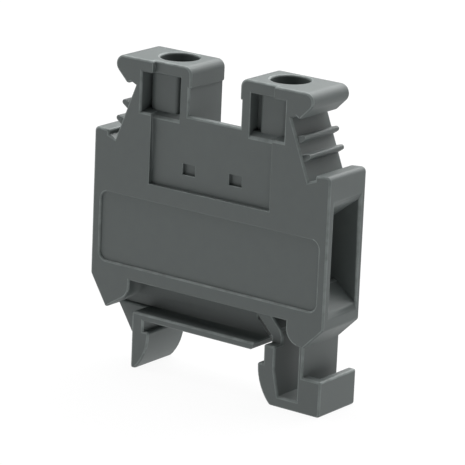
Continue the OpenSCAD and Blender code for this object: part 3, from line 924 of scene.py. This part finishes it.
# %% Put the pieces on their bodies
for piece, node, body, slot, finish in (
        (housing, "housing", "block", "housing", slate_plastic),
        (bar, "current_bar", "block", "bar", rolled_brass),
        (left_cage, "left_clamp_cage", "left_cage", "cage", plated_strip),
        (cage, "right_clamp_cage", "right_cage", "cage", plated_strip),
        (left_screw, "left_clamp_screw", "left_screw", "screw", plated_screw),
        (screw, "right_clamp_screw", "right_screw", "screw", plated_screw)):
    piece.data.materials.clear()
    piece.data.materials.append(finish)
    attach(piece, body)
    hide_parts(node)
    print(piece.name, "rides on", body)

# %% [markdown]
# ## Floor and light
#
# The block stands on a white table that glows itself, as acrylic lit from below does, so the white
# stays white right up to the block and its feet get light too.

# %% Lay the floor
FLOOR_SIZE, FLOOR_GLOW = 4.0, 0.93
WHITE, FLOOR_GREY = (1.0, 1.0, 1.0, 1.0), (0.06, 0.06, 0.06, 1.0)

bpy.ops.object.select_all(action="DESELECT")
bpy.ops.mesh.primitive_plane_add(size=FLOOR_SIZE)
studio_floor = bpy.context.object
studio_floor.name = "studio_floor"
table_top = bpy.data.materials.new("lit_table_top")
table_top.use_nodes = True
acrylic = table_top.node_tree.nodes["Principled BSDF"].inputs
acrylic["Base Color"].default_value = FLOOR_GREY
acrylic["Roughness"].default_value = 0.9
acrylic["Specular IOR Level"].default_value = 0.0
acrylic["Emission Color"].default_value = WHITE
acrylic["Emission Strength"].default_value = FLOOR_GLOW
studio_floor.data.materials.append(table_top)
print("floor:", studio_floor.name)

# %% [markdown]
# The strongest lamps hang above and behind the block, which makes the tops bright, reaches the
# screw heads in their bores and leaves the front an even, darker grey. They are wide, because metal
# mirrors a lamp, and a small strong one would burn out in it. Weaker ones on both sides and at the
# front left open the end faces and the recesses. All of them aim at the middle of the block.

# %% Hang the lights
TARGET = Vector((0, 0, 16 * MM))
LAMP_DISTANCE = 0.7


def direction(turn, rise):
    """Points from the block to a place that is turned from the front and raised, in radians."""
    return Vector((math.sin(turn) * math.cos(rise), -math.cos(turn) * math.cos(rise), math.sin(rise)))


def hang_light(name, azimuth, elevation, size, watts):
    lamp = bpy.data.lights.new(name, "AREA")
    lamp.shape = "DISK"
    lamp.size = size
    lamp.energy = watts
    holder = bpy.data.objects.new(name, lamp)
    bpy.context.scene.collection.objects.link(holder)
    way = direction(math.radians(azimuth), math.radians(elevation))
    holder.location = TARGET + way * LAMP_DISTANCE
    holder.rotation_euler = way.to_track_quat("Z", "Y").to_euler()
    print(name, "at", [round(x, 3) for x in holder.location])


hang_light("top_light", azimuth=180, elevation=80, size=1.0, watts=2.5)
hang_light("back_top_light", azimuth=180, elevation=60, size=0.9, watts=4.5)
hang_light("back_light", azimuth=180, elevation=30, size=0.9, watts=5.2)
hang_light("left_top_light", azimuth=-90, elevation=55, size=0.5, watts=3.2)
hang_light("right_low_light", azimuth=90, elevation=15, size=0.5, watts=0.38)
hang_light("front_fill_light", azimuth=-45, elevation=20, size=0.5, watts=0.69)

# %% [markdown]
# Behind the block the picture is plain white. The sky is white for the camera's own rays alone, so
# it adds no light to the block. The Standard view transform keeps white at full white.

# %% Make the sky white for the camera
sky = bpy.data.worlds.new("studio_sky")
bpy.context.scene.world = sky
sky.use_nodes = True
backdrop = sky.node_tree.nodes["Background"].inputs
backdrop["Color"].default_value = WHITE
seen = add_node(sky.node_tree, "ShaderNodeLightPath")
sky.node_tree.links.new(seen.outputs["Is Camera Ray"], backdrop["Strength"])
bpy.context.scene.view_settings.view_transform = "Standard"
print("sky:", sky.name)

# %% [markdown]
# ## The camera
#
# A product shot like this is taken from well away with a long lens, so the block hardly narrows
# towards the back. The camera stands to the right of the front and looks slightly down, with a
# small tilt.

# %% Set up the camera
AZIMUTH, ELEVATION, ROLL = math.radians(35.9), math.radians(15.66), math.radians(2.43)
DISTANCE, SIDE_SHIFT, UP_SHIFT = 328.3 * MM, 0.74 * MM, -0.494 * MM
SENSOR_WIDTH, FOCAL_LENGTH = 36.0, 254.0

towards = direction(AZIMUTH, ELEVATION)
flat_right = Vector((math.cos(AZIMUTH), math.sin(AZIMUTH), 0))
flat_up = towards.cross(flat_right)
right = math.cos(ROLL) * flat_right + math.sin(ROLL) * flat_up
up = math.cos(ROLL) * flat_up - math.sin(ROLL) * flat_right
lens = bpy.data.cameras.new("studio_camera")
lens.sensor_width = SENSOR_WIDTH
lens.lens = FOCAL_LENGTH
camera = bpy.data.objects.new("studio_camera", lens)
bpy.context.scene.collection.objects.link(camera)
camera_place = TARGET + DISTANCE * towards + SIDE_SHIFT * right + UP_SHIFT * up
camera_turn = Matrix((right, up, towards)).transposed().to_4x4()
camera.matrix_world = Matrix.Translation(camera_place) @ camera_turn
bpy.context.scene.camera = camera
print("camera at", [round(x, 4) for x in camera.location])

# %% [markdown]
# ## Update the scene
#
# At the end the view layer is brought up to date once more.

# %% Bring the view layer up to date
bpy.context.view_layer.update()
